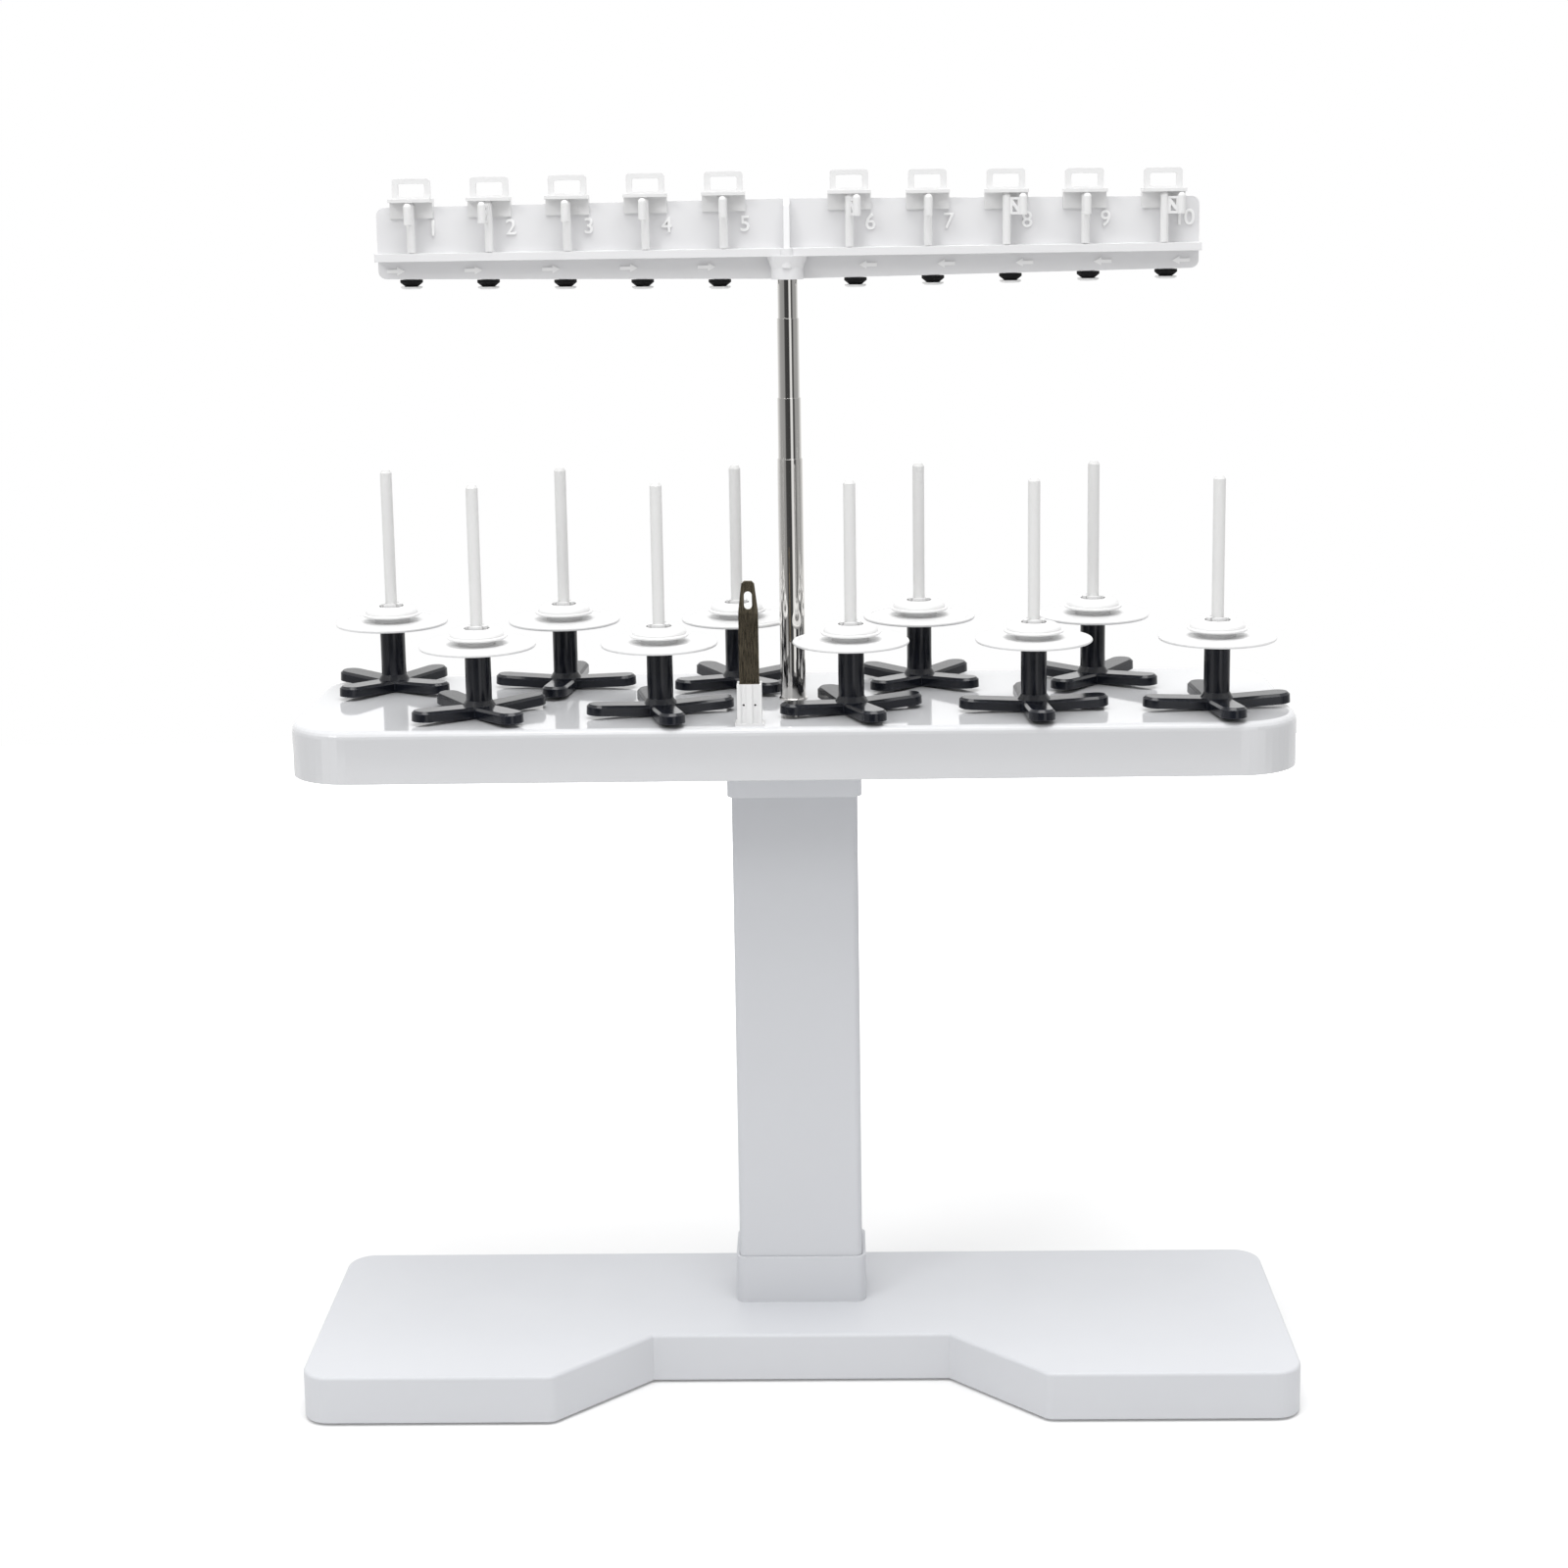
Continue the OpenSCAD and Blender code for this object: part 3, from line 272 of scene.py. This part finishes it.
NODE_LOOKS = {
    "base_shell": STAND_GREY, "base_bottom": COVER_GREY, "rubber_feet": RUBBER,
    "column": STAND_GREY, "column_collar": COLLAR_LIGHTENED_GREY, "column_screws": SCREW,
    "tray_shell": TRAY_WHITE, "tray_bottom": COVER_GREY, "cover_screws": SCREW,
    "spool_pins": PIN_WHITE, "cross_foot": FOOT_BLACK, "spool_cap": CAP_WHITE,
    "pole_stage": CHROME, "pole_ferrule": CHROME, "guide_bar": BAR_WHITE,
    "thread_clip": CLIP_WHITE, "tension_lever": CLIP_WHITE, "clamp_rubbers": RUBBER,
    "clamp_studs": CAP_WHITE, "tweezers_holder": CAP_WHITE, "tweezers": BLADE,
}


def look_of(name):
    """The material of a CAD node, by its name or the name without its number."""
    stem = name.rsplit("_", 1)[0]
    return NODE_LOOKS.get(name) or NODE_LOOKS[stem]


for node_name, obj in nodes.items():
    look = look_of(node_name)
    if not obj.material_slots:
        obj.data.materials.append(look)
    for slot in obj.material_slots:
        slot.material = look


# Raised marks on the guide bar

CLIP_BOXES = {k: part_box(f"thread_clip_{k}") for k in STATIONS}
# Rear wall of a clip's saddle, with its clearance
SADDLE_WALL = 1.45 * MM
BAR_T = 2.4 * MM
PLATE_FRONT = CLIP_BOXES[1][1].y - SADDLE_WALL - BAR_T
RAISE = 0.8 * MM
MARK_ROUNDING = 0.08 * MM
DIGIT_H = 7 * MM
# Font size over the height of a digit
FONT_PER_HEIGHT = 1.38
DIGIT_SPACING = 0.9
# Middle of a digit, to the right of its clip's middle
DIGIT_OUT = 9.2 * MM
DIGIT_Z = 518 * MM
ARROW_LEN = 7.8 * MM
ARROW_W = 3.6 * MM
ARROW_SHAFT = 1.5 * MM
ARROW_HEAD = 0.42 * ARROW_LEN
# Middle of an arrow, to the outside of its clip's middle
ARROW_OUT = 8 * MM
ARROW_Z = 499.7 * MM


def clip_x(k):
    """Middle of a station."""
    low, high = CLIP_BOXES[k]
    return (low[0] + high[0]) / 2


def put_on_bar(obj):
    """Gives a mark its material and lets it move with the bar."""
    obj.data.materials.clear()
    obj.data.materials.append(MARK_HIGHLIGHT_WHITE)
    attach(obj, "bar")


def digit(k):
    """The raised number of one station."""
    name = f"station_number_{k}"
    curve = bpy.data.curves.new(name, "FONT")
    curve.body = str(k)
    curve.size = DIGIT_H * FONT_PER_HEIGHT
    curve.space_character = DIGIT_SPACING
    curve.extrude = RAISE
    curve.bevel_depth = MARK_ROUNDING
    curve.bevel_resolution = 1
    curve.align_x = "CENTER"
    curve.align_y = "CENTER"
    text = bpy.data.objects.new(name, curve)
    bpy.context.scene.collection.objects.link(text)
    text.rotation_euler = (math.pi / 2, 0, 0)
    text.location = (clip_x(k) + DIGIT_OUT, PLATE_FRONT, DIGIT_Z)
    put_on_bar(text)


def arrow(k):
    """A raised arrow below the shelf that points to the middle of the bar."""
    name = f"station_arrow_{k}"
    side = 1 if k <= 5 else -1
    neck = ARROW_LEN / 2 - ARROW_HEAD
    # Anticlockwise as seen from the front, on either side of the bar
    outline = [
        (-ARROW_LEN / 2, -ARROW_SHAFT / 2), (neck, -ARROW_SHAFT / 2), (neck, -ARROW_W / 2),
        (ARROW_LEN / 2, 0),
        (neck, ARROW_W / 2), (neck, ARROW_SHAFT / 2), (-ARROW_LEN / 2, ARROW_SHAFT / 2),
    ][::side]
    n = len(outline)
    points = [(side * x, y, z) for y in (-RAISE, 0) for x, z in outline]
    walls = [((i + 1) % n, i, n + i, n + (i + 1) % n) for i in range(n)]
    mesh = bpy.data.meshes.new(name)
    mesh.from_pydata(points, [], [tuple(range(n)), tuple(reversed(range(n, 2 * n))), *walls])
    obj = bpy.data.objects.new(name, mesh)
    bpy.context.scene.collection.objects.link(obj)
    obj.location = (clip_x(k) - side * ARROW_OUT, PLATE_FRONT, ARROW_Z)
    rounding = obj.modifiers.new("rounding", "BEVEL")
    rounding.width = MARK_ROUNDING
    rounding.segments = 2
    put_on_bar(obj)


for station in STATIONS:
    digit(station)
    arrow(station)


# Camera, as the photograph was taken

PHOTO_PX = 1600
FOCAL_PX = 2606.5
SENSOR_MM = 36
NEAR_CLIP = 0.05
CAMERA_PLACE = (0.0190, -1.1183, 0.5402)
PITCH_DOWN = math.radians(10.098)
HEADING = math.radians(-1.154)
CAMERA_ROLL = math.radians(-0.873)
# The lens's axis meets the photograph this far above its middle
AXIS_ABOVE_MIDDLE_PX = 160


def add_camera():
    """Camera at the photograph's place; its frame is shifted down a little."""
    data = bpy.data.cameras.new("photo_camera")
    data.sensor_width = SENSOR_MM
    data.lens = FOCAL_PX / PHOTO_PX * SENSOR_MM
    data.shift_y = -AXIS_ABOVE_MIDDLE_PX / PHOTO_PX
    data.clip_start = NEAR_CLIP
    camera = bpy.data.objects.new("photo_camera", data)
    bpy.context.scene.collection.objects.link(camera)
    right = Vector((math.cos(HEADING), -math.sin(HEADING), 0))
    level = math.cos(PITCH_DOWN)
    ahead = Vector((math.sin(HEADING) * level, math.cos(HEADING) * level, -math.sin(PITCH_DOWN)))
    up = right.cross(ahead)
    rolled_right = right * math.cos(CAMERA_ROLL) + up * math.sin(CAMERA_ROLL)
    rolled_up = up * math.cos(CAMERA_ROLL) - right * math.sin(CAMERA_ROLL)
    turn = Matrix((rolled_right, rolled_up, -ahead)).transposed()
    camera.matrix_world = Matrix.Translation(CAMERA_PLACE) @ turn.to_4x4()
    bpy.context.scene.camera = camera


# Studio

FLOOR_HALF = 1.3
# The floor lies this far below the feet, so that no faces share a plane
FLOOR_DROP = 0.0002
FLOOR_WHITE = (0.76, 0.76, 0.76)
FLOOR_ROUGH = 0.9
FLOOR_GLOSS = 0.1
# Glow that only the camera sees: near the rack, and from its shadow's reach outwards to full white
FLOOR_GLOW = 0.14
SHADOW_REACH = 0.42
# Strength of the sky at the horizon and from this height of its direction up
SKY_LOW = 0.42
SKY_HIGH = 1.25
SKY_HIGH_AT = 0.9
# Heights of direction between which the stands in the reflections give way to the sky
BANDS_TO = 0.35
SKY_FROM = 0.6
# What shiny parts reflect, by the heading from the front over the right: degrees, strength
BANDS = [
    (-180, 1.25), (-135, 0.9), (-90, 0.42), (-42, 0.34), (-34, 0.07), (8, 0.05), (15, 0.9),
    (30, 1.0), (38, 0.07), (50, 0.09), (60, 0.40), (100, 0.42), (135, 0.9), (180, 1.25),
]


def camera_only(tree, strength):
    """Passes a strength to camera rays and nothing to other rays."""
    path = tree.nodes.new("ShaderNodeLightPath")
    seen = calculate(tree, "MULTIPLY", strength)
    tree.links.new(path.outputs["Is Camera Ray"], seen.inputs[1])
    return seen.outputs["Value"]


def studio_floor():
    """Plain floor that keeps the rack's soft shadow and runs out into the white background."""
    mesh = bpy.data.meshes.new("studio_floor")
    h = FLOOR_HALF
    mesh.from_pydata([(-h, -h, 0), (h, -h, 0), (h, h, 0), (-h, h, 0)], [], [(0, 1, 2, 3)])
    floor = bpy.data.objects.new("studio_floor", mesh)
    bpy.context.scene.collection.objects.link(floor)
    floor.location.z = -FLOOR_DROP
    mat, tree, shader = new_material("studio_floor")
    out = next(n for n in tree.nodes if n.type == "OUTPUT_MATERIAL")
    shader.inputs["Base Color"].default_value = (*FLOOR_WHITE, 1)
    shader.inputs["Roughness"].default_value = FLOOR_ROUGH
    shader.inputs["Specular IOR Level"].default_value = FLOOR_GLOSS
    reach = tree.nodes.new("ShaderNodeVectorMath")
    reach.operation = "LENGTH"
    tree.links.new(object_coords(tree), reach.inputs[0])
    glow = tree.nodes.new("ShaderNodeEmission")
    far = spread(tree, reach.outputs["Value"], FLOOR_GLOW, 1.0, SHADOW_REACH, 2 * SHADOW_REACH)
    tree.links.new(camera_only(tree, far), glow.inputs["Strength"])
    both = tree.nodes.new("ShaderNodeAddShader")
    tree.links.new(shader.outputs["BSDF"], both.inputs[0])
    tree.links.new(glow.outputs["Emission"], both.inputs[1])
    tree.links.new(both.outputs["Shader"], out.inputs["Surface"])
    mesh.materials.append(mat)


def area_lamp(name, place, aim, size, power):
    """A soft square lamp that points at a place."""
    data = bpy.data.lights.new(name, "AREA")
    data.shape = "SQUARE"
    data.size = size
    data.energy = power
    lamp = bpy.data.objects.new(name, data)
    bpy.context.scene.collection.objects.link(lamp)
    lamp.location = place
    lamp.rotation_euler = (Vector(aim) - Vector(place)).to_track_quat("-Z", "Y").to_euler()


def bands_by_heading(tree, direction):
    """Dark and bright stands round the studio, for the reflections only."""
    back = calculate(tree, "MULTIPLY", direction.outputs["Y"])
    back.inputs[1].default_value = -1
    heading = calculate(tree, "ARCTAN2", direction.outputs["X"])
    tree.links.new(back.outputs["Value"], heading.inputs[1])
    along = spread(tree, heading.outputs["Value"], 0.0, 1.0, -math.pi, math.pi)
    ramp = tree.nodes.new("ShaderNodeValToRGB")
    stops = ramp.color_ramp.elements
    for stop, (_, level) in ((stops[0], BANDS[0]), (stops[-1], BANDS[-1])):
        stop.color = (level, level, level, 1)
    for at, level in BANDS[1:-1]:
        stops.new((at + 180) / 360).color = (level, level, level, 1)
    tree.links.new(along, ramp.inputs["Fac"])
    return ramp.outputs["Color"]


def studio_world():
    """White to the camera, soft light from above for the surfaces, stands for the reflections."""
    world = bpy.data.worlds.new("studio")
    bpy.context.scene.world = world
    world.use_nodes = True
    tree = world.node_tree
    tree.nodes.clear()
    out = tree.nodes.new("ShaderNodeOutputWorld")
    path = tree.nodes.new("ShaderNodeLightPath")
    coord = tree.nodes.new("ShaderNodeTexCoord")
    direction = tree.nodes.new("ShaderNodeSeparateXYZ")
    tree.links.new(coord.outputs["Generated"], direction.inputs["Vector"])
    height = direction.outputs["Z"]
    sky = spread(tree, height, SKY_LOW, SKY_HIGH, 0.0, SKY_HIGH_AT)
    bands = calculate(tree, "MULTIPLY", spread(tree, height, 1.0, 0.0, BANDS_TO, SKY_FROM))
    tree.links.new(path.outputs["Is Glossy Ray"], bands.inputs[1])
    shine = tree.nodes.new("ShaderNodeMix")
    shine.data_type = "RGBA"
    tree.links.new(bands.outputs["Value"], shine.inputs["Factor"])
    tree.links.new(sky, shine.inputs["A"])
    tree.links.new(bands_by_heading(tree, direction), shine.inputs["B"])
    light = tree.nodes.new("ShaderNodeBackground")
    tree.links.new(shine.outputs["Result"], light.inputs["Color"])
    white = tree.nodes.new("ShaderNodeBackground")
    white.inputs["Color"].default_value = (1, 1, 1, 1)
    mixer = tree.nodes.new("ShaderNodeMixShader")
    tree.links.new(path.outputs["Is Camera Ray"], mixer.inputs["Fac"])
    tree.links.new(light.outputs["Background"], mixer.inputs[1])
    tree.links.new(white.outputs["Background"], mixer.inputs[2])
    tree.links.new(mixer.outputs["Shader"], out.inputs["Surface"])


add_camera()
studio_floor()
studio_world()
area_lamp("lamp_top", place=(0.1, -0.4, 1.8), aim=(0, 0, 0.3), size=1.0, power=13)
area_lamp("lamp_left", place=(-0.9, -1.0, 1.3), aim=(0, 0, 0.45), size=0.45, power=4.5)

bpy.context.scene.view_settings.view_transform = "Standard"
